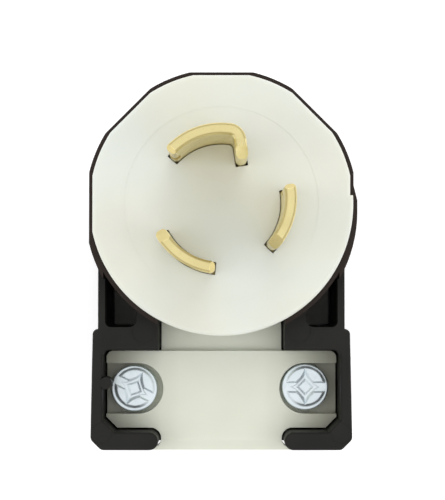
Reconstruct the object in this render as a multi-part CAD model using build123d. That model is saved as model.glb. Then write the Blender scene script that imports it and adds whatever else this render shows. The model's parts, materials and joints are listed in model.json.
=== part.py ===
from build123d import *
import os
from math import cos, pi, radians, sin

# Right-angle three-wire locking plug. The mating face lies in z = 0, +Z points out along the
# blades, and the cord leaves towards -Y. The origin is where the blade axis meets the face.

# Face and cover
FACE_RADIUS = 28.0
FACE_FLAT = 27.36
FLAT_ANGLES = (-90, -45, 0, 45)
SHORT_FLAT = 1.8
SHORT_FLAT_RIM = 4.0
SHORT_FLAT_FALL = 4.0
FLANGE = 2.4
FACE_FLOOR = 5.0
FACE_EDGE = 0.8
RING_RADIUS = 20.9
RING_WIDTH = 0.6
RING_HEIGHT = 0.06
SKIRT_RADIUS = 24.9
SKIRT_WALL = 2.5
SKIRT_DEPTH = 9.4
RIM_RADIUS = 29.05
RIM_FLAT = 28.25
RIM_CORNER = 3.0
LOBE_SHIFT = 1.5
BORE_RADIUS = 25.3
BACK = -38.0
FLOOR = -35.0
BACK_EDGE = 1.5

# Eight keys on the skirt set the face to the cover in steps of an eighth of a turn
KEY_COUNT = 8
KEY_REACH = 1.3
KEY_WIDTH = 4.0
KEY_GAP = 0.35
KEY_SPACE_DEPTH = 9.8
KEY_START = 22.5

# Cord end of the cover
ARM_HALF = 26.7
ARM_START = -10.0
END_FRONT = -7.0
FRAME_TOP = -26.8
FRAME_BOTTOM = -53.0
FRAME_TOP_HALF = 27.9
FRAME_BOTTOM_HALF = 28.35
FRAME_CHAMFER = 2.3
FRAME_CORNER = 1.5
WINDOW_TOP = -31.4
WINDOW_BOTTOM = -49.15
WINDOW_HALF = 25.8
WINDOW_CORNER = 1.5
WINDOW_CHAMFER = 2.6
WINDOW_FLOOR = -26.0
WINDOW_EDGE = 0.6
THROAT_HALF = 13.7
TROUGH_HALF = 11.5
TROUGH_CORNER = 9.0
TROUGH_START = 15.0
THROAT_END = -20.0
POCKET_HALF = 25.2
POCKET_INNER = 18.3
POCKET_BOTTOM = -26.4
POCKET_FLOOR = -28.0
POCKET_TIP = 0.4
POCKET_CORNER = 1.3
POCKET_BEND = 1.8
GATE_RADIUS = 1.3
GATE_X = -25.0
GATE_Y = -38.5
GATE_DEPTH = 4.0
PIN_MARKS = ((16.8, -27.2, 2.6), (25.9, -49.3, 2.3))
PIN_MARK_DEPTH = 0.12

# Cord clamp
CLAMP_TOP = -13.5
CLAMP_WEB = 3.0
EAR_THICK = 5.0
EAR_GAP = 0.4
NECK_TOP = -15.0
NECK_THICK = 2.0
NECK_START = -25.6
NECK_LAP = 2.0
LIP_END = -53.8
LIP_FLARE = 2.2
LIP_SLOPE = 2.4
LIP_DROP = 1.5
RECESS_X = 18.4
RECESS_RADIUS = 5.6
RECESS_DEPTH = 2.5
RIB_RADIUS = 9.5
RIB_DROP = 2.4
RIB_WIDTH = 1.6
RIB_HALF = 10.6
RIB_PLACES = (-36.0, -40.0, -44.0)
CLAMP_SCREW_X = 18.9
CLAMP_SCREW_Y = -40.1
CLAMP_SLOT_TURNS = {"clamp_screw_left": -27.0, "clamp_screw_right": 0.0}

# Blades: compass angles run clockwise from +Y, seen from the mating side
BLADE_OUTER = 15.05
BLADE_THICK = 2.4
BLADE_HEIGHT = 18.3
BLADE_GAP = 0.15
BLADE_TIP = 0.9
END_ROUND = 0.95
SLOT_ROUND = 0.15
BLADE_SPANS = {"ground": (311.8, 367.35), "line_a": (78.1, 133.6), "line_b": (185.4, 243.1)}
HOOK_RADIUS = 2.3
HOOK_TURN = 73.85
HOOK_LENGTH = 3.8
NOTCH_BASE = 4.2
NOTCH_HEIGHT = 4.6
NOTCH_ANGLE = 6.5
LEAD_RUN = 2.5
LEAD_DROP = 4.0
CORNER_RUN = 1.0
CORNER_DROP = 1.5
SHOULDER_ANGLE = 4.0
SHOULDER = 2.0
FOOT_HALF = 4.5
FOOT_END = -19.0

# Contact carrier and terminals
CARRIER_RADIUS = 22.0
CARRIER_FRONT = -5.2
CARRIER_BACK = -24.0
TERMINAL_Z = -13.0
WELL_INNER = 7.4
WELL_HALF = 4.2
WELL_TOP = -8.2
SEAT_SPREAD = 5.0
PLATE_INNER = 8.0
PLATE_THICK = 2.4
PLATE_HALF = 3.9
TERMINAL_HEAD_RADIUS = 4.0
TERMINAL_HEAD = 2.4
TERMINAL_SHANK = 2.05
TERMINAL_WINDOW = 4.6
CARRIER_SCREW_ANGLES = (45.0, 160.0, 278.0)
CARRIER_SCREW_CIRCLE = 17.5
BOSS_RADIUS = 3.2
BOSS_DEPTH = 9.0
BOSS_HOLE_END = -3.4
SEAT_GAP = 0.2

# Fasteners
RUNNING_GAP = 0.05
HOLE_GAP = 0.35
CLAMP_HEAD_RADIUS = 5.3
CLAMP_HEAD = 3.0
CLAMP_FLANGE = 1.9
CLAMP_CROWN_RADIUS = 4.4
CLAMP_SLOT_HALF = 1.1
STAR_REACH = 3.9
STAR_WAIST = 2.0
STAR_DEPTH = 1.5
CLAMP_SHANK = 2.4
CLAMP_SCREW_END = -30.6
CLAMP_NUT_FLAT = 9.5
CLAMP_NUT = (-31.9, -28.5)
ASSEMBLY_HEAD_RADIUS = 4.2
ASSEMBLY_HEAD = 3.0
ASSEMBLY_SEAT = -34.5
ASSEMBLY_SHANK = 2.05
ASSEMBLY_END = -6.0
ASSEMBLY_BOSS_RADIUS = 6.5
ASSEMBLY_BOSS_TOP = -31.6
INSERT_FLAT = 7.5
INSERT = (-12.0, -6.0)
RETAINER = (-31.4, -30.6)
RETAINER_RADIUS = 3.6
CARRIER_HEAD_RADIUS = 2.7
CARRIER_HEAD = 1.8
CARRIER_SHANK = 1.45
CARRIER_SEAT = -13.0
CARRIER_SCREW_END = -3.6
HEAD_EDGE = 0.8
SCREW_POINT = 0.5
SLOT_HALF = 0.75
SLOT_DEPTH = 1.2
CROSS_REACH = 3.2
CROSS_DEPTH = 1.6
SMALL_SLOT_HALF = 0.4
SMALL_SLOT_DEPTH = 0.7


def on_circle(radius, angle):
    """The point at a compass angle on a circle about the blade axis."""
    return (radius * sin(radians(angle)), radius * cos(radians(angle)))


def slab(outline, low, high):
    """A plan outline raised from one height to another."""
    return extrude(Pos(0, 0, low) * outline, high - low)


def rod(radius, low, high, x=0.0, y=0.0):
    return slab(Pos(x, y) * Circle(radius), low, high)


def block(x_span, y_span, z_span):
    """A box between given limits on each axis."""
    size = [high - low for low, high in (x_span, y_span, z_span)]
    middle = [(high + low) / 2 for low, high in (x_span, y_span, z_span)]
    return Pos(*middle) * Box(*size)


def mirrored(shape):
    return shape + mirror(shape, Plane.YZ)


def hexagon(flat, x=0.0, y=0.0):
    return Pos(x, y) * RegularPolygon(flat / 2, 6, major_radius=False)


def sector(inner, outer, start, end):
    """The plan of a curved strip between two radii and two compass angles."""
    first, span = 90 - end, end - start
    near_start, far_start = on_circle(inner, start), on_circle(outer, start)
    near_end, far_end = on_circle(inner, end), on_circle(outer, end)
    edges = [
        CenterArc((0, 0), inner, first, span),
        CenterArc((0, 0), outer, first, span),
        Line(near_start, far_start),
        Line(near_end, far_end),
    ]
    return make_face(edges)


def radial(angle, shape):
    """Turns a shape built along +Y to a compass angle."""
    return Rot(0, 0, -angle) * shape


def radial_rod(radius, near, far, z, angle):
    """A rod along a radius, between two distances from the blade axis."""
    along_y = Pos(0, near, z) * Rot(-90, 0, 0) * Cylinder(
        radius, far - near, align=(Align.CENTER, Align.CENTER, Align.MIN)
    )
    return radial(angle, along_y)


def upper_edges(shape, z):
    return shape.edges().filter_by_position(Axis.Z, z - 1e-3, z + 1e-3)


def middle_angle(name):
    start, end = BLADE_SPANS[name]
    return (start + end) / 2


def hooked_side(offset, start, reach):
    """One side of the ground blade: the arc, the bend at its clockwise end, and the hook."""
    end = BLADE_SPANS["ground"][1]
    turned = end + HOOK_TURN
    centre = on_circle(BLADE_OUTER - BLADE_THICK / 2 - HOOK_RADIUS, end)
    arc = CenterArc((0, 0), BLADE_OUTER - BLADE_THICK / 2 + offset, 90 - end, end - start)
    bend = CenterArc(centre, HOOK_RADIUS + offset, 90 - turned, HOOK_TURN)
    heading = Vector(cos(radians(turned)), -sin(radians(turned)))
    begin = Vector(*centre) + Vector(*on_circle(HOOK_RADIUS + offset, turned))
    return [arc, bend, Line(begin, begin + heading * reach)]


def near_any(vertex, points):
    return any((Vector(*vertex) - point).length < 1e-4 for point in points)


def blade_plan(name, grow=0.0):
    """Plan of a blade, grown all round by a gap for its slot."""
    start, end = BLADE_SPANS[name]
    spread = grow / BLADE_OUTER * 180 / pi
    corner = SLOT_ROUND if grow else END_ROUND
    inner, outer = BLADE_OUTER - BLADE_THICK - grow, BLADE_OUTER + grow
    if name != "ground":
        plan = sector(inner, outer, start - spread, end + spread)
        return fillet(plan.vertices(), corner)
    half = BLADE_THICK / 2 + grow
    outside = hooked_side(half, start - spread, HOOK_LENGTH + grow)
    inside = hooked_side(-half, start - spread, HOOK_LENGTH + grow)
    ends = [
        Line(on_circle(inner, start - spread), on_circle(outer, start - spread)),
        Line(outside[-1] @ 1, inside[-1] @ 1),
    ]
    plan = make_face(outside + inside + ends)
    corners = [line @ place for line in ends for place in (0, 1)]
    sharp = [vertex for vertex in plan.vertices() if near_any(vertex, corners)]
    return fillet(sharp, corner)


def notch(name):
    """The step behind which the socket holds the turned blade."""
    start = BLADE_SPANS[name][0]
    inner, outer = BLADE_OUTER - 2 * BLADE_THICK, BLADE_OUTER + BLADE_THICK
    plan = sector(inner, outer, start - NOTCH_ANGLE, start + NOTCH_ANGLE)
    return slab(plan, NOTCH_BASE, NOTCH_BASE + NOTCH_HEIGHT)


def corner_cut(run, drop, side):
    """A wedge that slopes off a tip corner, at x = 0 in the XZ plane, towards the given side."""
    clear = side * BLADE_HEIGHT
    points = [(0, -drop), (-side * run, 0), (-side * run, drop), (clear, drop), (clear, -drop)]
    return extrude(Plane.XZ * make_face(Polyline(*points, close=True)), BLADE_THICK, both=True)


def tip_cuts(name):
    """The steep lead-in at a blade's clockwise end and the small corner at the other."""
    start, end = BLADE_SPANS[name]
    middle = BLADE_OUTER - BLADE_THICK / 2
    first = radial(start, Pos(0, middle, BLADE_HEIGHT) * corner_cut(CORNER_RUN, CORNER_DROP, -1))
    if name != "ground":
        return first + radial(end, Pos(0, middle, BLADE_HEIGHT) * corner_cut(LEAD_RUN, LEAD_DROP, 1))
    hook_end = hooked_side(0.0, start, HOOK_LENGTH)[-1] @ 1
    turned = Pos(hook_end.X, hook_end.Y, BLADE_HEIGHT) * Rot(0, 0, -end - HOOK_TURN)
    return first + turned * corner_cut(LEAD_RUN, LEAD_DROP, 1)


def make_blade(name):
    start, end = BLADE_SPANS[name]
    inner = BLADE_OUTER - BLADE_THICK
    blade = slab(blade_plan(name), -FACE_FLOOR, BLADE_HEIGHT)
    blade = fillet(upper_edges(blade, BLADE_HEIGHT), BLADE_TIP)
    blade -= notch(name) + tip_cuts(name)
    shoulder = sector(inner, BLADE_OUTER, start - SHOULDER_ANGLE, end + SHOULDER_ANGLE)
    blade += slab(shoulder, -FACE_FLOOR - SHOULDER, -FACE_FLOOR)
    foot = block((-FOOT_HALF, FOOT_HALF), (inner, BLADE_OUTER), (FOOT_END, -FACE_FLOOR))
    blade += radial(middle_angle(name), foot)
    hole = radial_rod(TERMINAL_SHANK + HOLE_GAP, WELL_INNER, CARRIER_RADIUS, TERMINAL_Z, middle_angle(name))
    return blade - hole


def trimmed_disc(radius, flat):
    """A disc with flats at the top, the left and the two upper diagonals."""
    outline = Circle(radius)
    for angle in FLAT_ANGLES:
        beyond = Pos(0, flat + radius) * Rectangle(2 * radius, 2 * radius)
        outline -= radial(angle, beyond)
    return outline


def beyond_short_flat(flat, end, fall):
    """What the short flat at the right takes off. It ends above the middle, falling off as it leaves."""
    far, low = flat + FACE_RADIUS, end - fall
    corners = [(flat, end), (flat + 1, low), (far, low), (far, FACE_RADIUS), (flat, FACE_RADIUS)]
    return make_face(Polyline(*corners, close=True))


def carrier_screw_places():
    return [on_circle(CARRIER_SCREW_CIRCLE, angle) for angle in CARRIER_SCREW_ANGLES]


def keys(grow, depth, inner):
    """Radial keys between the flats, or with grow, the grooves for them."""
    half = KEY_WIDTH / 2 + grow
    key = block((-half, half), (inner, SKIRT_RADIUS + KEY_REACH + grow), (-depth, -FLANGE))
    return [radial(KEY_START + 360 / KEY_COUNT * step, key) for step in range(KEY_COUNT)]


def make_face_plate():
    plate = slab(trimmed_disc(FACE_RADIUS, FACE_FLAT), -FLANGE, 0)
    plate -= slab(beyond_short_flat(FACE_FLAT, SHORT_FLAT, 0), -FLANGE, 0)
    plate = fillet(upper_edges(plate, 0), FACE_EDGE)
    ring = Circle(RING_RADIUS + RING_WIDTH / 2) - Circle(RING_RADIUS - RING_WIDTH / 2)
    plate += slab(ring, 0, RING_HEIGHT)
    plate += rod(SKIRT_RADIUS, -FACE_FLOOR, -FLANGE)
    skirt = Circle(SKIRT_RADIUS) - Circle(SKIRT_RADIUS - SKIRT_WALL)
    plate += slab(skirt, -SKIRT_DEPTH, -FACE_FLOOR)
    for key in keys(0.0, SKIRT_DEPTH, SKIRT_RADIUS - SKIRT_WALL / 2):
        plate += key
    for x, y in carrier_screw_places():
        plate += rod(BOSS_RADIUS, -BOSS_DEPTH, -FACE_FLOOR, x, y)
        plate -= rod(CARRIER_SHANK, -BOSS_DEPTH, BOSS_HOLE_END, x, y)
    for name in BLADE_SPANS:
        plate -= slab(blade_plan(name, BLADE_GAP), -FACE_FLOOR, RING_HEIGHT)
    return plate


def make_carrier():
    inner = BLADE_OUTER - BLADE_THICK
    carrier = rod(CARRIER_RADIUS, CARRIER_BACK, CARRIER_FRONT)
    carrier = chamfer(upper_edges(carrier, CARRIER_BACK), 1.0)
    carrier -= rod(ASSEMBLY_SHANK + HOLE_GAP, CARRIER_BACK, CARRIER_FRONT)
    carrier -= slab(hexagon(INSERT_FLAT), INSERT[0], CARRIER_FRONT)
    for x, y in carrier_screw_places():
        carrier -= rod(BOSS_RADIUS + SEAT_GAP, -BOSS_DEPTH - SEAT_GAP, CARRIER_FRONT, x, y)
        carrier -= rod(CARRIER_SHANK + HOLE_GAP, CARRIER_BACK, CARRIER_FRONT, x, y)
        carrier -= rod(CARRIER_HEAD_RADIUS + HOLE_GAP, CARRIER_BACK, CARRIER_SEAT, x, y)
    for name, (start, end) in BLADE_SPANS.items():
        angle = middle_angle(name)
        near, far = inner - SEAT_GAP, BLADE_OUTER + SEAT_GAP
        seat = sector(near, far, start - SEAT_SPREAD, end + SEAT_SPREAD)
        carrier -= slab(seat, -FACE_FLOOR - SHOULDER - SEAT_GAP, CARRIER_FRONT)
        half = FOOT_HALF + SEAT_GAP
        foot = block((-half, half), (near, far), (CARRIER_BACK, CARRIER_FRONT))
        well = block((-WELL_HALF, WELL_HALF), (WELL_INNER, inner), (CARRIER_BACK, WELL_TOP))
        carrier -= radial(angle, foot + well)
        carrier -= radial_rod(TERMINAL_WINDOW, BLADE_OUTER, CARRIER_RADIUS + 1, TERMINAL_Z, angle)
    return carrier


def lobes():
    """The cover's round swells a little where it runs into the arms."""
    swell = Pos(0, -LOBE_SHIFT) * Circle(RIM_RADIUS)
    reach = Rectangle(RIM_FLAT + RIM_RADIUS, RIM_RADIUS, align=(Align.MIN, Align.MAX))
    return swell & (Pos(-RIM_FLAT) * reach) - Rectangle(2 * POCKET_HALF, 4 * RIM_RADIUS)


def cover_plan():
    """Arms beside the face and the wider frame round the clamp."""
    shoulder = Vector(FRAME_TOP_HALF, FRAME_TOP)
    side = Vector(FRAME_BOTTOM_HALF, FRAME_BOTTOM + FRAME_CHAMFER)
    under = Vector(FRAME_BOTTOM_HALF - FRAME_CHAMFER, FRAME_BOTTOM)
    arm = [(0, ARM_START), (ARM_HALF, ARM_START), (ARM_HALF, FRAME_TOP)]
    plan = make_face(Polyline(*arm, shoulder, side, under, (0, FRAME_BOTTOM), close=True))
    plan = fillet([vertex for vertex in plan.vertices() if near_any(vertex, [side, under])], FRAME_CORNER)
    room = FRAME_TOP_HALF - ARM_HALF - RUNNING_GAP
    plan = fillet([vertex for vertex in plan.vertices() if near_any(vertex, [shoulder])], room)
    return mirrored(plan)


def window_plan():
    half = [
        (0, WINDOW_TOP),
        (WINDOW_HALF, WINDOW_TOP),
        (WINDOW_HALF, WINDOW_BOTTOM + WINDOW_CHAMFER),
        (WINDOW_HALF - WINDOW_CHAMFER, WINDOW_BOTTOM),
        (0, WINDOW_BOTTOM),
    ]
    plan = make_face(Polyline(*half, close=True))
    plan = fillet(plan.vertices().group_by(Axis.X)[-1].sort_by(Axis.Y)[-1], WINDOW_CORNER)
    return mirrored(plan)


def exit_plan():
    """The gap between the two hooks, whose ends are full rounds."""
    middle = (WINDOW_BOTTOM + FRAME_BOTTOM) / 2
    radius = (WINDOW_BOTTOM - FRAME_BOTTOM) / 2
    gap = Pos(0, middle) * Rectangle(2 * (THROAT_HALF + radius), 2 * radius)
    for side in (-1, 1):
        gap -= Pos(side * (THROAT_HALF + radius), middle) * Circle(radius)
    return gap


def trough_section(half):
    """Section of the cord trough, seen along Y."""
    box = Pos(0, (WINDOW_FLOOR + FLOOR) / 2) * Rectangle(2 * half, WINDOW_FLOOR - FLOOR)
    return fillet(box.vertices().group_by(Axis.Y)[0], min(TROUGH_CORNER, WINDOW_FLOOR - FLOOR - 0.1))


def rim_point(x):
    """The point below the face at which the pockets' rim crosses a line of constant x."""
    return Vector(x, -((RIM_RADIUS**2 - x**2) ** 0.5))


def pocket_plan(side):
    """The pocket between the face, the arm and the frame, sharp where the arm meets the rim."""
    width = POCKET_HALF - POCKET_INNER
    height = RIM_RADIUS / 2
    shape = Pos(POCKET_HALF - width / 2, POCKET_BOTTOM + height / 2) * Rectangle(width, height)
    shape -= Circle(RIM_RADIUS)
    shape = fillet(shape.vertices().group_by(Axis.Y)[0].sort_by(Axis.X)[0], POCKET_BEND)
    shape = fillet(shape.vertices().sort_by(Axis.Y)[-1], POCKET_TIP)
    corners = [Vector(POCKET_HALF, POCKET_BOTTOM), rim_point(POCKET_INNER)]
    shape = fillet([vertex for vertex in shape.vertices() if near_any(vertex, corners)], POCKET_CORNER)
    return shape if side > 0 else mirror(shape, Plane.YZ)


def window_edges(cover):
    """The front edges round the window and the hooks, which the moulding has rounded."""
    front = cover.edges().filter_by_position(Axis.Z, END_FRONT - 1e-3, END_FRONT + 1e-3)
    low, high = FRAME_BOTTOM + RUNNING_GAP, WINDOW_TOP + RUNNING_GAP
    reach = WINDOW_HALF + RUNNING_GAP
    return [edge for edge in front if low < edge.center().Y < high and abs(edge.center().X) < reach]


def make_rear_cover():
    outline = trimmed_disc(RIM_RADIUS, RIM_FLAT)
    cover = slab(fillet(outline.vertices(), RIM_CORNER), BACK, -FLANGE)
    cover += slab(cover_plan(), BACK, END_FRONT)
    cover = fillet(upper_edges(cover, BACK), BACK_EDGE)
    cover += slab(lobes(), BACK + BACK_EDGE, -FLANGE)
    cover -= slab(beyond_short_flat(RIM_FLAT, SHORT_FLAT_RIM, SHORT_FLAT_FALL), BACK, -FLANGE)
    cover -= rod(BORE_RADIUS, FLOOR, 0)
    for groove in keys(KEY_GAP, KEY_SPACE_DEPTH, BORE_RADIUS - 1):
        cover -= groove
    throat = (-THROAT_HALF, THROAT_HALF)
    cover -= slab(window_plan(), WINDOW_FLOOR, 0)
    cover -= block(throat, (WINDOW_BOTTOM, THROAT_END), (WINDOW_FLOOR, 0))
    cover -= slab(exit_plan(), WINDOW_FLOOR, 0)
    cover = fillet(window_edges(cover), WINDOW_EDGE)
    trough = Plane.XZ.offset(TROUGH_START) * trough_section(TROUGH_HALF)
    cover -= extrude(trough, -FRAME_BOTTOM)
    for side in (-1, 1):
        cover -= slab(pocket_plan(side), POCKET_FLOOR, 0)
        x = side * CLAMP_SCREW_X
        cover -= rod(CLAMP_SHANK + HOLE_GAP, BACK, WINDOW_FLOOR, x, CLAMP_SCREW_Y)
        cover -= slab(hexagon(CLAMP_NUT_FLAT, x, CLAMP_SCREW_Y), BACK, CLAMP_NUT[1])
        for x, y, radius in PIN_MARKS:
            cover -= rod(radius, END_FRONT - PIN_MARK_DEPTH, END_FRONT, side * x, y)
    cover += rod(GATE_RADIUS, END_FRONT - GATE_DEPTH, END_FRONT, GATE_X, GATE_Y)
    cover += rod(ASSEMBLY_BOSS_RADIUS, FLOOR, ASSEMBLY_BOSS_TOP)
    cover -= rod(ASSEMBLY_SHANK + HOLE_GAP, BACK, 0)
    return cover - rod(ASSEMBLY_HEAD_RADIUS + HOLE_GAP, BACK, ASSEMBLY_SEAT)


def clamp_plan():
    """Ears that fill the window and a tongue that flares round the ends of the hooks."""
    half_ear = WINDOW_HALF - EAR_GAP
    top, bottom = WINDOW_TOP - EAR_GAP, WINDOW_BOTTOM + EAR_GAP
    ears = Pos(0, (top + bottom) / 2) * Rectangle(2 * half_ear, top - bottom)
    ears = chamfer(ears.vertices().group_by(Axis.Y)[0], WINDOW_CHAMFER - EAR_GAP / 2)
    ears = fillet(ears.vertices().group_by(Axis.Y)[-1], WINDOW_CORNER)
    half_tongue = THROAT_HALF + LIP_FLARE
    tongue = Pos(0, (bottom + LIP_END) / 2) * Rectangle(2 * half_tongue, bottom - LIP_END)
    radius = (WINDOW_BOTTOM - FRAME_BOTTOM) / 2
    for side in (-1, 1):
        place = (side * (THROAT_HALF + radius), (WINDOW_BOTTOM + FRAME_BOTTOM) / 2)
        tongue -= Pos(*place) * Circle(radius + EAR_GAP)
    return ears + tongue


def make_clamp_plate():
    under = CLAMP_TOP - EAR_THICK
    plate = slab(clamp_plan(), under, CLAMP_TOP)
    web = CLAMP_TOP - CLAMP_WEB
    plate -= block((-RIB_HALF, RIB_HALF), (LIP_END, THROAT_END), (under, web))
    neck_half = THROAT_HALF - EAR_GAP
    edge = WINDOW_TOP - EAR_GAP
    neck = block((-neck_half, neck_half), (edge - NECK_LAP, NECK_START), (NECK_TOP - NECK_THICK, NECK_TOP))
    plate += neck
    for y in RIB_PLACES:
        rib = block((-RIB_HALF, RIB_HALF), (y - RIB_WIDTH / 2, y + RIB_WIDTH / 2), (under, web))
        axis = Pos(0, y, under - RIB_RADIUS + RIB_DROP) * Rot(90, 0, 0)
        plate += rib - axis * Cylinder(RIB_RADIUS, 2 * RIB_WIDTH)
    for side in (-1, 1):
        open_side = Pos(side * RECESS_RADIUS) * Rectangle(2 * RECESS_RADIUS, 2 * RECESS_RADIUS)
        recess = Pos(side * RECESS_X, CLAMP_SCREW_Y) * (open_side + Circle(RECESS_RADIUS))
        plate -= slab(recess, CLAMP_TOP - RECESS_DEPTH, CLAMP_TOP)
        plate -= rod(CLAMP_SHANK + HOLE_GAP, under, CLAMP_TOP, side * CLAMP_SCREW_X, CLAMP_SCREW_Y)
    corner = [(LIP_END, CLAMP_TOP), (LIP_END + LIP_SLOPE, CLAMP_TOP), (LIP_END, CLAMP_TOP - LIP_DROP)]
    slope = Plane.YZ * make_face(Polyline(*corner, close=True))
    return plate - extrude(slope, WINDOW_HALF, both=True)


def cross_recess(head_radius, top):
    """A full-width slot crossed by a short tapered one."""
    slot = block((-head_radius, head_radius), (-SLOT_HALF, SLOT_HALF), (top - SLOT_DEPTH, top))
    cross = block((-SLOT_HALF, SLOT_HALF), (-CROSS_REACH, CROSS_REACH), (top - CROSS_DEPTH, top))
    core = Pos(0, 0, top - CROSS_DEPTH) * Cone(
        SLOT_HALF, 2 * SLOT_HALF, CROSS_DEPTH, align=(Align.CENTER, Align.CENTER, Align.MIN)
    )
    return slot + cross + core


def make_clamp_screw(side, turn):
    """A crowned head on a flange, with a wide slot down to the flange and a four-pointed recess."""
    seat = CLAMP_TOP - RECESS_DEPTH
    rim, top = seat + CLAMP_FLANGE, seat + CLAMP_HEAD
    crown = fillet(upper_edges(rod(CLAMP_CROWN_RADIUS, seat, top), top), HEAD_EDGE)
    screw = crown + rod(CLAMP_HEAD_RADIUS, seat, rim) + rod(CLAMP_SHANK, CLAMP_SCREW_END, seat)
    screw = chamfer(upper_edges(screw, CLAMP_SCREW_END), SCREW_POINT)
    across = (-CLAMP_HEAD_RADIUS, CLAMP_HEAD_RADIUS)
    screw -= block(across, (-CLAMP_SLOT_HALF, CLAMP_SLOT_HALF), (rim, top))
    tips = [on_circle((STAR_REACH, STAR_WAIST)[step % 2], 45 * step) for step in range(8)]
    screw -= slab(make_face(Polyline(*tips, close=True)), top - STAR_DEPTH, top)
    return Pos(side * CLAMP_SCREW_X, CLAMP_SCREW_Y) * Rot(0, 0, turn) * screw


def make_clamp_nut(side):
    nut = slab(hexagon(CLAMP_NUT_FLAT - 2 * RUNNING_GAP), *CLAMP_NUT)
    nut -= rod(CLAMP_SHANK + RUNNING_GAP, *CLAMP_NUT)
    return Pos(side * CLAMP_SCREW_X, CLAMP_SCREW_Y) * nut


def make_assembly_screw():
    low = ASSEMBLY_SEAT - ASSEMBLY_HEAD
    head = rod(ASSEMBLY_HEAD_RADIUS, low, ASSEMBLY_SEAT)
    head = fillet(upper_edges(head, low), HEAD_EDGE)
    screw = head + rod(ASSEMBLY_SHANK, ASSEMBLY_SEAT, ASSEMBLY_END)
    screw = chamfer(upper_edges(screw, ASSEMBLY_END), SCREW_POINT)
    across = (-ASSEMBLY_HEAD_RADIUS, ASSEMBLY_HEAD_RADIUS)
    return screw - block(across, (-SLOT_HALF, SLOT_HALF), (low, low + SLOT_DEPTH))


def make_insert():
    insert = slab(hexagon(INSERT_FLAT), *INSERT)
    return insert - rod(ASSEMBLY_SHANK + RUNNING_GAP, *INSERT)


def make_retainer():
    return rod(RETAINER_RADIUS, *RETAINER) - rod(ASSEMBLY_SHANK, *RETAINER)


def make_carrier_screws():
    """Three equal screws that hold the carrier to the face."""
    low = CARRIER_SEAT - CARRIER_HEAD
    head = fillet(upper_edges(rod(CARRIER_HEAD_RADIUS, low, CARRIER_SEAT), low), SCREW_POINT)
    screw = head + rod(CARRIER_SHANK, CARRIER_SEAT, CARRIER_SCREW_END)
    across = (-CARRIER_HEAD_RADIUS, CARRIER_HEAD_RADIUS)
    screw -= block(across, (-SMALL_SLOT_HALF, SMALL_SLOT_HALF), (low, low + SMALL_SLOT_DEPTH))
    return Compound(children=[Pos(x, y) * screw for x, y in carrier_screw_places()])


def make_terminal_screw(name):
    head = fillet(upper_edges(rod(TERMINAL_HEAD_RADIUS, 0, TERMINAL_HEAD), TERMINAL_HEAD), HEAD_EDGE)
    shank = rod(TERMINAL_SHANK, PLATE_INNER - BLADE_OUTER, 0)
    screw = head + shank - cross_recess(TERMINAL_HEAD_RADIUS, TERMINAL_HEAD)
    placed = Pos(0, BLADE_OUTER, TERMINAL_Z) * Rot(-90, 0, 0) * screw
    return radial(middle_angle(name), placed)


def make_pressure_plate(name):
    heights = (TERMINAL_Z - PLATE_HALF, TERMINAL_Z + PLATE_HALF)
    plate = block((-PLATE_HALF, PLATE_HALF), (PLATE_INNER, PLATE_INNER + PLATE_THICK), heights)
    plate = radial(middle_angle(name), chamfer(plate.edges().filter_by(Axis.Y), SCREW_POINT))
    bore = radial_rod(TERMINAL_SHANK + RUNNING_GAP, WELL_INNER, BLADE_OUTER, TERMINAL_Z, middle_angle(name))
    return plate - bore


def make_nodes():
    nodes = {
        "face_plate": make_face_plate(),
        "contact_carrier": make_carrier(),
        "rear_cover": make_rear_cover(),
        "cord_clamp_plate": make_clamp_plate(),
        "assembly_screw": make_assembly_screw(),
        "screw_retainer": make_retainer(),
        "brass_insert": make_insert(),
        "carrier_screws": make_carrier_screws(),
    }
    for name in BLADE_SPANS:
        nodes[name + "_blade"] = make_blade(name)
        nodes[name + "_terminal_screw"] = make_terminal_screw(name)
        nodes[name + "_pressure_plate"] = make_pressure_plate(name)
    for name, side in (("left", -1), ("right", 1)):
        screw = "clamp_screw_" + name
        nodes[screw] = make_clamp_screw(side, CLAMP_SLOT_TURNS[screw])
        nodes["clamp_nut_" + name] = make_clamp_nut(side)
    return nodes


os.makedirs("parts", exist_ok=True)
for node_name, shape in make_nodes().items():
    shape.label = node_name
    export_step(shape, f"parts/{node_name}.step")
    print(node_name, len(shape.solids()), round(shape.volume))
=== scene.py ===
"""Looks for a right-angle locking power plug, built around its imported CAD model."""

import json
import math

import bpy
from mathutils import Matrix, Vector


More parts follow.
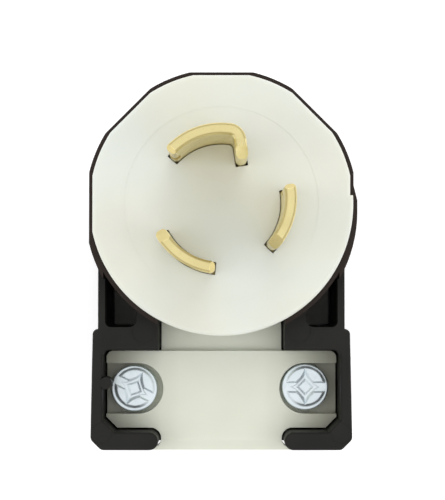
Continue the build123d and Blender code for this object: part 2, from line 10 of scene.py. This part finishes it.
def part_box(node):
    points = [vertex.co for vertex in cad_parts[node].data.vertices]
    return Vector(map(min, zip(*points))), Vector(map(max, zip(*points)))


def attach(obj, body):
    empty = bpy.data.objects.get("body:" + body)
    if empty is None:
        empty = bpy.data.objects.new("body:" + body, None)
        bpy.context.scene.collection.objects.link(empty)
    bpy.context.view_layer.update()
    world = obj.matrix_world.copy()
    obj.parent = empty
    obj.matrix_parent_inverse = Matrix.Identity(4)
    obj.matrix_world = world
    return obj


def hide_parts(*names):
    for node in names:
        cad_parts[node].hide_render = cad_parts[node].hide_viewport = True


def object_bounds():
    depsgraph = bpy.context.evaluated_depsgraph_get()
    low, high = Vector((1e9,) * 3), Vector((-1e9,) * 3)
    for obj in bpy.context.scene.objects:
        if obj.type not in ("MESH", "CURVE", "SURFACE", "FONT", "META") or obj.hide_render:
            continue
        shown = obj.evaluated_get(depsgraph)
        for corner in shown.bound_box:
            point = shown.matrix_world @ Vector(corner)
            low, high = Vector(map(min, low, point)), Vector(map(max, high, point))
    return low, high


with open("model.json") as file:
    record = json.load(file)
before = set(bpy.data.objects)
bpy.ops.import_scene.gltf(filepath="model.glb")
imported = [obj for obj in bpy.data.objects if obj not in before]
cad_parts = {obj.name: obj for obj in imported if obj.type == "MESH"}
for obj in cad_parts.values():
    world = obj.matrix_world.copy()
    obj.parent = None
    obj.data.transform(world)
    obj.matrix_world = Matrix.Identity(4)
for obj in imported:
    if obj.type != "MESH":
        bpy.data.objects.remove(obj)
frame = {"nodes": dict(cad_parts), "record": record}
cad_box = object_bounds()

MM = 0.001
IMAGE_HEIGHT = 500
MM_PER_PIXEL = 0.2114
CAMERA_HEIGHT = 0.280
CAMERA_X = 0.0002
CAMERA_Y = -0.0172
AIM_X = 0.00025
AIM_Y = -0.00986
SENSOR = 36.0
FLOOR_GAP = 0.0001
LIGHTS = {
    "back_light": (0.15, 0.65, 0.55),
    "left_light": (-0.70, -0.10, 0.50),
    "right_light": (0.70, -0.20, 0.50),
}
LIGHT_SIZE = 0.6
LIGHT_POWER = 1.4
TENT_STRENGTH = 0.98
TENT_STOPS = [
    (0.00, (0.45, 0.45, 0.45)),
    (0.30, (0.70, 0.70, 0.70)),
    (0.60, (1.00, 1.00, 1.00)),
    (1.00, (0.97, 0.97, 0.97)),
]
FLOOR_GLOW = 0.38

# Places on the object where a material changes tone, in metres
# Where the painted shade on the blades' rounded edges lies
BLADE_TOP = 0.0183
BLADE_MIDDLE = 0.01385
BLADE_HALF = 0.0012
RIM_BAND = (-0.0062, -0.0028)
# Box of the arms' pocket floors, painted lighter grey as painted light
POCKET_PAINTED_LIGHT = {"X": (0.0180, 0.0248), "Y": (-0.0340, -0.0080), "Z": (-0.0283, -0.0262)}
POCKET_EDGE = 0.0002
# Painted shade on the clamp's ears: tone multipliers along the distance from the middle, darker towards
# the frame's walls
EAR_END = 0.0256
EAR_SHADE_TONES = [
    (0.36, (1.0, 1.0, 1.0)),
    (0.52, (0.92, 0.92, 0.91)),
    (0.66, (0.76, 0.76, 0.74)),
    (0.80, (0.57, 0.56, 0.53)),
    (0.92, (0.45, 0.44, 0.41)),
    (1.00, (0.45, 0.44, 0.41)),
]

# Clamp screws, in millimetres: height is measured down from the top of the crown
SCREW_ANGLES = {"clamp_screw_left": -27.0, "clamp_screw_right": 0.0}
HEAD_SHIFTS = {"clamp_screw_left": (-0.35, 0.0), "clamp_screw_right": (-0.40, 0.30)}
HEAD_RADIUS = 5.1
HEAD_THICK = 3.0
HEAD_STEPS = 288
HEAD_RINGS = 62
CROWN_RADIUS = 4.60
CROWN_ROUND = 0.85
CROWN_SHIFT = (0.08, 0.20)
CROWN_HEIGHT = 0.38
FLANGE_ROUND = 0.35
SLOT_HALF = 1.08
SLOT_FLOOR = 0.37
SLOT_WALL = 0.55
STAR_REACH = 4.65
STAR_POWER = 0.72
STAR_WALL = 1.9
STAR_DROP = 0.52
CORE_REACH = 2.1
CORE_DROP = 0.34
CORE_WALL = 0.95
SHANK_RADIUS = 2.38
SHANK_ROOT = 2.02
SHANK_STEPS = 40
SHANK_POINT = 0.8
THREAD_PITCH = 1.058
THREAD_ROWS = 8


# ---------------------------------------------------------------- node helpers

def new_material(name):
    """An empty material with its Principled shader and output."""
    material = bpy.data.materials.new(name)
    material.use_nodes = True
    tree = material.node_tree
    tree.nodes.clear()
    output = tree.nodes.new("ShaderNodeOutputMaterial")
    shader = tree.nodes.new("ShaderNodeBsdfPrincipled")
    tree.links.new(shader.outputs["BSDF"], output.inputs["Surface"])
    return material, tree, shader


def coordinates(tree, scale=(1.0, 1.0, 1.0)):
    """Object coordinates in metres, stretched on request."""
    place = tree.nodes.new("ShaderNodeTexCoord")
    mapping = tree.nodes.new("ShaderNodeMapping")
    mapping.inputs["Scale"].default_value = scale
    tree.links.new(place.outputs["Object"], mapping.inputs["Vector"])
    return mapping.outputs["Vector"]


def noise(tree, vector, scale, detail=3.0, roughness=0.5):
    node = tree.nodes.new("ShaderNodeTexNoise")
    node.inputs["Scale"].default_value = scale
    node.inputs["Detail"].default_value = detail
    node.inputs["Roughness"].default_value = roughness
    tree.links.new(vector, node.inputs["Vector"])
    return node.outputs["Fac"]


def ramp(tree, value, stops):
    """A colour ramp through (position, colour) stops."""
    node = tree.nodes.new("ShaderNodeValToRGB")
    elements = node.color_ramp.elements
    while len(elements) < len(stops):
        elements.new(0.5)
    for element, (position, colour) in zip(elements, stops):
        element.position = position
        element.color = (*colour, 1.0)
    tree.links.new(value, node.inputs["Fac"])
    return node.outputs["Color"]


def span(tree, value, low, high):
    """Maps a noise value to a range of numbers."""
    node = tree.nodes.new("ShaderNodeMapRange")
    node.inputs["From Min"].default_value = 0.3
    node.inputs["From Max"].default_value = 0.7
    node.inputs["To Min"].default_value = low
    node.inputs["To Max"].default_value = high
    tree.links.new(value, node.inputs["Value"])
    return node.outputs["Result"]


def mix(tree, fraction, first, second, kind="MIX"):
    node = tree.nodes.new("ShaderNodeMix")
    node.data_type = "RGBA"
    node.blend_type = kind
    for socket, source in ((node.inputs[0], fraction), (node.inputs[6], first), (node.inputs[7], second)):
        if isinstance(source, (int, float)):
            socket.default_value = source
        elif isinstance(source, tuple):
            socket.default_value = (*source, 1.0)
        else:
            tree.links.new(source, socket)
    return node.outputs[2]


def axis(tree, name):
    """One object coordinate, in metres."""
    split = tree.nodes.new("ShaderNodeSeparateXYZ")
    tree.links.new(coordinates(tree), split.inputs["Vector"])
    return split.outputs[name]


def math_node(tree, kind, *values):
    node = tree.nodes.new("ShaderNodeMath")
    node.operation = kind
    for socket, value in zip(node.inputs, values):
        if isinstance(value, (int, float)):
            socket.default_value = value
        else:
            tree.links.new(value, socket)
    return node.outputs[0]


def rise(tree, value, start, end):
    """Goes from 0 to 1 between two values."""
    node = tree.nodes.new("ShaderNodeMapRange")
    node.interpolation_type = "SMOOTHSTEP"
    node.inputs["From Min"].default_value = start
    node.inputs["From Max"].default_value = end
    tree.links.new(value, node.inputs["Value"])
    return node.outputs["Result"]


def within(tree, value, low, high, edge):
    """1 between two values, falling to 0 over an edge on each side."""
    up = rise(tree, value, low - edge, low + edge)
    down = rise(tree, value, high - edge, high + edge)
    return math_node(tree, "SUBTRACT", up, down)


def bump(tree, shader, heights):
    """Stacks bumps, each given as (height, strength, distance in metres)."""
    previous = None
    for height, strength, distance in heights:
        node = tree.nodes.new("ShaderNodeBump")
        node.inputs["Strength"].default_value = strength
        node.inputs["Distance"].default_value = distance
        tree.links.new(height, node.inputs["Height"])
        if previous is not None:
            tree.links.new(previous, node.inputs["Normal"])
        previous = node.outputs["Normal"]
    tree.links.new(previous, shader.inputs["Normal"])


# ---------------------------------------------------------------- materials

def white_nylon(name, bright, shade, cool, gloss, ends):
    """Translucent white nylon: cloudy tone, soft gloss, faint flow ripples and a fine grain.
    Given ear tones, a ramp along the distance from the middle paints shade on the ears of the clamp,
    darkest towards the frame's walls."""
    material, tree, shader = new_material(name)
    place = coordinates(tree)
    cloud = noise(tree, place, 70.0, 2.0)
    tone = ramp(tree, cloud, [(0.35, shade), (0.65, bright)])
    patch = noise(tree, place, 38.0, 1.0)
    tint = ramp(tree, patch, [(0.42, (0.0, 0.0, 0.0)), (0.72, (1.0, 1.0, 1.0))])
    colour = mix(tree, tint, tone, cool)
    if ends:
        # painted shade: the clamp's ears grow darker towards the frame's walls
        outward = math_node(tree, "DIVIDE", math_node(tree, "ABSOLUTE", axis(tree, "X")), EAR_END)
        colour = mix(tree, 1.0, colour, ramp(tree, outward, ends), "MULTIPLY")
    tree.links.new(colour, shader.inputs["Base Color"])
    grain = noise(tree, place, 2600.0, 2.0)
    sheen = noise(tree, place, 180.0, 3.0)
    tree.links.new(span(tree, sheen, gloss, gloss + 0.10), shader.inputs["Roughness"])
    shader.inputs["Subsurface Weight"].default_value = 0.30
    shader.inputs["Subsurface Radius"].default_value = (1.0, 0.95, 0.80)
    shader.inputs["Subsurface Scale"].default_value = 0.0022
    shader.inputs["IOR"].default_value = 1.53
    ripple = noise(tree, place, 260.0, 2.0)
    bump(tree, shader, [(ripple, 0.10, 0.0002), (grain, 0.08, 0.00003)])
    return material


def black_nylon():
    """Black nylon with a fine spark-eroded mould texture and slightly dusty tone.
    It is browner at the cover's rim, and the floor of the arms' pockets is painted lighter grey as painted
    light."""
    material, tree, shader = new_material("black_nylon")
    place = coordinates(tree)
    cloud = noise(tree, place, 90.0, 3.0)
    tone = ramp(tree, cloud, [(0.35, (0.0135, 0.0135, 0.0120)), (0.65, (0.0185, 0.0180, 0.0160))])
    speck = noise(tree, place, 3200.0, 2.0, 0.7)
    dust = ramp(tree, speck, [(0.60, (0.0, 0.0, 0.0)), (0.80, (0.30, 0.30, 0.30))])
    colour = mix(tree, dust, tone, (0.030, 0.028, 0.025))
    places = {name: axis(tree, name) for name in "XYZ"}
    places["X"] = math_node(tree, "ABSOLUTE", places["X"])
    colour = mix(tree, rise(tree, places["Z"], *RIM_BAND), colour, (0.027, 0.019, 0.016))
    # painted light: the floor of the arms' pockets is painted lighter grey, as if lit
    pocket_light = 1.0
    for name, (low, high) in POCKET_PAINTED_LIGHT.items():
        pocket_light = math_node(tree, "MULTIPLY", pocket_light, within(tree, places[name], low, high, POCKET_EDGE))
    colour = mix(tree, pocket_light, colour, (0.38, 0.38, 0.35))
    tree.links.new(colour, shader.inputs["Base Color"])
    tree.links.new(span(tree, cloud, 0.50, 0.62), shader.inputs["Roughness"])
    shader.inputs["Specular IOR Level"].default_value = 0.15
    pits = noise(tree, place, 2100.0, 4.0, 0.65)
    wave = noise(tree, place, 320.0, 2.0)
    bump(tree, shader, [(wave, 0.12, 0.0002), (pits, 0.30, 0.00006)])
    return material


def blade_edge_shade(tree):
    """Mask of the painted shade: 1 on the rounded edges and cut corners of the blades, 0 on their tips and
    on their walls.
    """
    reach = tree.nodes.new("ShaderNodeVectorMath")
    reach.operation = "LENGTH"
    tree.links.new(coordinates(tree, (1.0, 1.0, 0.0)), reach.inputs[0])
    across = math_node(tree, "ABSOLUTE", math_node(tree, "SUBTRACT", reach.outputs["Value"], BLADE_MIDDLE))
    tip = rise(tree, axis(tree, "Z"), BLADE_TOP - 0.00020, BLADE_TOP - 0.00002)
    wall = rise(tree, across, BLADE_HALF - 0.00008, BLADE_HALF - 0.00001)
    below = math_node(tree, "SUBTRACT", 1.0, tip)
    inside = math_node(tree, "SUBTRACT", 1.0, wall)
    return math_node(tree, "MULTIPLY", below, inside)


def metal(name, tones, roughness, brush, scratch, edge):
    """A bright metal: tone clouds, faint stains, drawn lines and fine scratches.
    With an edge tone, painted shade: a darker tone on the blades' rounded edges and cut corners."""
    material, tree, shader = new_material(name)
    place = coordinates(tree)
    cloud = noise(tree, place, 160.0, 3.0)
    tone = ramp(tree, cloud, [(0.30, tones[0]), (0.70, tones[1])])
    spot = noise(tree, place, 900.0, 3.0, 0.6)
    stain = ramp(tree, spot, [(0.55, (0.0, 0.0, 0.0)), (0.80, (0.30, 0.30, 0.30))])
    colour = mix(tree, stain, tone, tones[2])
    if edge:
        # painted shade: a darker tone on the blades' rounded edges and cut corners
        colour = mix(tree, blade_edge_shade(tree), colour, edge)
    tree.links.new(colour, shader.inputs["Base Color"])
    shader.inputs["Metallic"].default_value = 1.0
    tree.links.new(span(tree, spot, roughness, roughness + 0.12), shader.inputs["Roughness"])
    lines = noise(tree, coordinates(tree, brush), 900.0, 4.0, 0.7)
    nicks = noise(tree, place, 1500.0, 5.0, 0.7)
    bump(tree, shader, [(lines, scratch, 0.00002), (nicks, scratch * 0.5, 0.00001)])
    return material


# name: bright, shade and cool tone, roughness, painted shade tones towards the ears
NYLONS = {
    "white_nylon": ((0.735, 0.745, 0.665), (0.705, 0.715, 0.635), (0.700, 0.735, 0.690), 0.30, None),
    "inner_nylon": ((0.720, 0.730, 0.650), (0.690, 0.700, 0.620), (0.685, 0.715, 0.670), 0.36, None),
    "clamp_nylon": ((0.705, 0.720, 0.620), (0.675, 0.695, 0.590), (0.665, 0.705, 0.630), 0.34, EAR_SHADE_TONES),
}
# name: two tones and a stain, roughness, stretch of the drawn lines, depth of the scratches, painted shade
# tone for the blades' edges
METALS = {
    "blade_brass": (
        [(0.80, 0.69, 0.33), (0.88, 0.77, 0.38), (0.62, 0.51, 0.22)],
        0.26, (1, 1, 0.05), 0.12, (0.60, 0.50, 0.22),
    ),
    "brass": (
        [(0.74, 0.58, 0.28), (0.84, 0.70, 0.40), (0.60, 0.46, 0.22)],
        0.30, (1, 1, 8), 0.15, None,
    ),
    "zinc_steel": (
        [(0.78, 0.87, 0.91), (0.85, 0.93, 0.97), (0.66, 0.73, 0.77)],
        0.40, (1, 1, 6), 0.03, None,
    ),
    "spring_steel": (
        [(0.30, 0.30, 0.31), (0.42, 0.42, 0.43), (0.20, 0.20, 0.20)],
        0.35, (1, 1, 1), 0.10, None,
    ),
    "green_screw": (
        [(0.05, 0.30, 0.13), (0.08, 0.42, 0.18), (0.30, 0.36, 0.16)],
        0.30, (1, 1, 8), 0.12, None,
    ),
}


def make_materials():
    """One material for each slot of the record."""
    materials = {"black_nylon": black_nylon()}
    for name, values in NYLONS.items():
        materials[name] = white_nylon(name, *values)
    for name, values in METALS.items():
        materials[name] = metal(name, *values)
    return materials


MATERIALS = make_materials()


def dress_cad_nodes():
    """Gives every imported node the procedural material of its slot."""
    for part in frame["record"]["subparts"]:
        node = frame["nodes"][part["node"]]
        node.data.materials.clear()
        node.data.materials.append(MATERIALS[part["material_slot"]])


# ---------------------------------------------------------------- clamp screws

def shell(top, rings, bottom):
    """Points and faces of a closed shell from a top point through rings to a bottom point."""
    count = len(rings[0])
    points = [top] + [point for ring in rings for point in ring] + [bottom]
    last = 1 + (len(rings) - 1) * count
    faces = []
    for step in range(count):
        after = (step + 1) % count
        faces.append((0, 1 + step, 1 + after))
        faces.append((last + after, last + step, len(points) - 1))
        for row in range(len(rings) - 1):
            near, far = 1 + row * count, 1 + (row + 1) * count
            faces.append((near + step, far + step, far + after, near + after))
    return points, faces


def smooth(value, start, end):
    """Goes from 0 to 1 between two values with soft ends."""
    share = min(max((value - start) / (end - start), 0.0), 1.0)
    return share * share * (3.0 - 2.0 * share)


def edge_drop(radius):
    """How far the flange's round edge has dropped at a radius."""
    inside = min(max(radius - HEAD_RADIUS + FLANGE_ROUND, 0.0), FLANGE_ROUND)
    return FLANGE_ROUND - math.sqrt(FLANGE_ROUND * FLANGE_ROUND - inside * inside)


def head_drop(x, y):
    """How far the head's surface lies below the crown's top, with the slot along x."""
    out = math.hypot(x - CROWN_SHIFT[0], y - CROWN_SHIFT[1])
    drop = CROWN_HEIGHT * smooth(out, CROWN_RADIUS - CROWN_ROUND, CROWN_RADIUS)
    slot = SLOT_FLOOR * (1.0 - smooth(abs(y), SLOT_HALF - SLOT_WALL / 2, SLOT_HALF + SLOT_WALL / 2))
    drop = max(drop, slot)
    reach = (abs(x) ** STAR_POWER + abs(y) ** STAR_POWER) ** (1.0 / STAR_POWER)
    drop = max(drop, STAR_DROP * smooth(STAR_REACH - reach, 0.0, STAR_WALL))
    drop += CORE_DROP * smooth(CORE_REACH - abs(x) - abs(y), 0.0, CORE_WALL)
    return drop + edge_drop(math.hypot(x, y))


def ring_of(radius, count, height):
    """A ring of points, whose height may depend on the place."""
    turns = [2 * math.pi * step / count for step in range(count)]
    places = [(radius * math.cos(turn), radius * math.sin(turn)) for turn in turns]
    return [(x, y, height(x, y) if callable(height) else height) for x, y in places]


def screw_head():
    rings = [
        ring_of(HEAD_RADIUS * row / HEAD_RINGS, HEAD_STEPS, lambda x, y: -head_drop(x, y))
        for row in range(1, HEAD_RINGS + 1)
    ]
    rings.append(ring_of(HEAD_RADIUS, HEAD_STEPS, FLANGE_ROUND - HEAD_THICK))
    rings.append(ring_of(HEAD_RADIUS - FLANGE_ROUND, HEAD_STEPS, -HEAD_THICK))
    return shell((0.0, 0.0, -head_drop(0.0, 0.0)), rings, (0.0, 0.0, -HEAD_THICK))


def screw_shank(length):
    """A right-hand thread under the head: each ring is a slice through the helix."""
    rows = int(length / THREAD_PITCH * THREAD_ROWS)
    rings = []
    for row in range(rows + 1):
        depth = length * row / rows
        ring = []
        for step in range(SHANK_STEPS):
            share = step / SHANK_STEPS
            phase = (-depth / THREAD_PITCH - share) % 1.0
            crest = min(1.0, 1.5 * (1.0 - abs(2.0 * phase - 1.0)))
            radius = SHANK_ROOT + (SHANK_RADIUS - SHANK_ROOT) * crest
            radius = min(radius, SHANK_RADIUS - SHANK_POINT + length - depth)
            turn = 2 * math.pi * share
            ring.append((radius * math.cos(turn), radius * math.sin(turn), -HEAD_THICK - depth))
        rings.append(ring)
    return shell((0.0, 0.0, -HEAD_THICK), rings, (0.0, 0.0, -HEAD_THICK - length))


def add_clamp_screw(node):
    """Stands for a CAD clamp screw: crowned head, slot, four-pointed recess and a cut thread."""
    low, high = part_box(node)
    length = (high.z - low.z) / MM - HEAD_THICK
    shift = Matrix.Translation((*HEAD_SHIFTS[node], 0.0))
    turn = Matrix.Rotation(math.radians(SCREW_ANGLES[node]), 4, "Z")
    points, faces = screw_head()
    points = [shift @ turn @ Vector(point) for point in points]
    more_points, more_faces = screw_shank(length)
    faces += [tuple(index + len(points) for index in face) for face in more_faces]
    mesh = bpy.data.meshes.new(node + "_look")
    mesh.from_pydata(points + more_points, [], faces)
    middle = Vector(((low.x + high.x) / 2, (low.y + high.y) / 2, high.z))
    mesh.transform(Matrix.Translation(middle) @ Matrix.Scale(MM, 4))
    mesh.shade_smooth()
    mesh.materials.append(MATERIALS["zinc_steel"])
    look = bpy.data.objects.new(node + "_look", mesh)
    bpy.context.scene.collection.objects.link(look)
    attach(look, node)
    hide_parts(node)


# ---------------------------------------------------------------- stage

def add_floor():
    """A pale floor just under the object's back."""
    low = cad_box[0][2]
    bpy.ops.mesh.primitive_plane_add(size=6.0, location=(0, 0, low - FLOOR_GAP))
    floor = bpy.context.object
    floor.name = "floor"
    material, tree, shader = new_material("floor")
    tone = noise(tree, coordinates(tree), 12.0, 2.0)
    colour = ramp(tree, tone, [(0.3, (0.90, 0.90, 0.90)), (0.7, (0.93, 0.93, 0.93))])
    tree.links.new(colour, shader.inputs["Base Color"])
    shader.inputs["Roughness"].default_value = 0.8
    shader.inputs["Emission Color"].default_value = (1.0, 1.0, 1.0, 1.0)
    shader.inputs["Emission Strength"].default_value = FLOOR_GLOW
    floor.data.materials.append(material)


def add_light(name, location, size, power, target=(0.0, -0.01, 0.0)):
    data = bpy.data.lights.new(name, "AREA")
    data.shape = "DISK"
    data.size = size
    data.energy = power
    light = bpy.data.objects.new(name, data)
    light.location = location
    light.rotation_euler = (Vector(target) - Vector(location)).to_track_quat("-Z", "Y").to_euler()
    light.visible_glossy = False
    bpy.context.scene.collection.objects.link(light)


def add_world():
    """A white tent: bright overhead and dimmer towards the horizon."""
    world = bpy.data.worlds.new("studio")
    world.use_nodes = True
    tree = world.node_tree
    background = tree.nodes["Background"]
    place = tree.nodes.new("ShaderNodeTexCoord")
    split = tree.nodes.new("ShaderNodeSeparateXYZ")
    tree.links.new(place.outputs["Generated"], split.inputs["Vector"])
    sky = ramp(tree, split.outputs["Z"], TENT_STOPS)
    tree.links.new(sky, background.inputs["Color"])
    background.inputs["Strength"].default_value = TENT_STRENGTH
    bpy.context.scene.world = world


def add_lights():
    for name, location in LIGHTS.items():
        add_light(name, location, LIGHT_SIZE, LIGHT_POWER)


def add_camera():
    """Looks down on the face from just below its middle, as the photographer stood."""
    data = bpy.data.cameras.new("camera")
    data.sensor_width = SENSOR
    data.lens = SENSOR * CAMERA_HEIGHT / (IMAGE_HEIGHT * MM_PER_PIXEL * MM)
    data.clip_start = 0.01
    camera = bpy.data.objects.new("camera", data)
    camera.location = (CAMERA_X, CAMERA_Y, CAMERA_HEIGHT)
    heading = Vector((AIM_X - CAMERA_X, AIM_Y - CAMERA_Y, -CAMERA_HEIGHT))
    camera.rotation_euler = (math.atan2(heading.y, -heading.z), -math.atan2(heading.x, -heading.z), 0.0)
    bpy.context.scene.collection.objects.link(camera)
    bpy.context.scene.camera = camera


add_camera()
dress_cad_nodes()
for screw in SCREW_ANGLES:
    add_clamp_screw(screw)
add_floor()
add_lights()
add_world()
bpy.context.scene.view_settings.view_transform = "Standard"
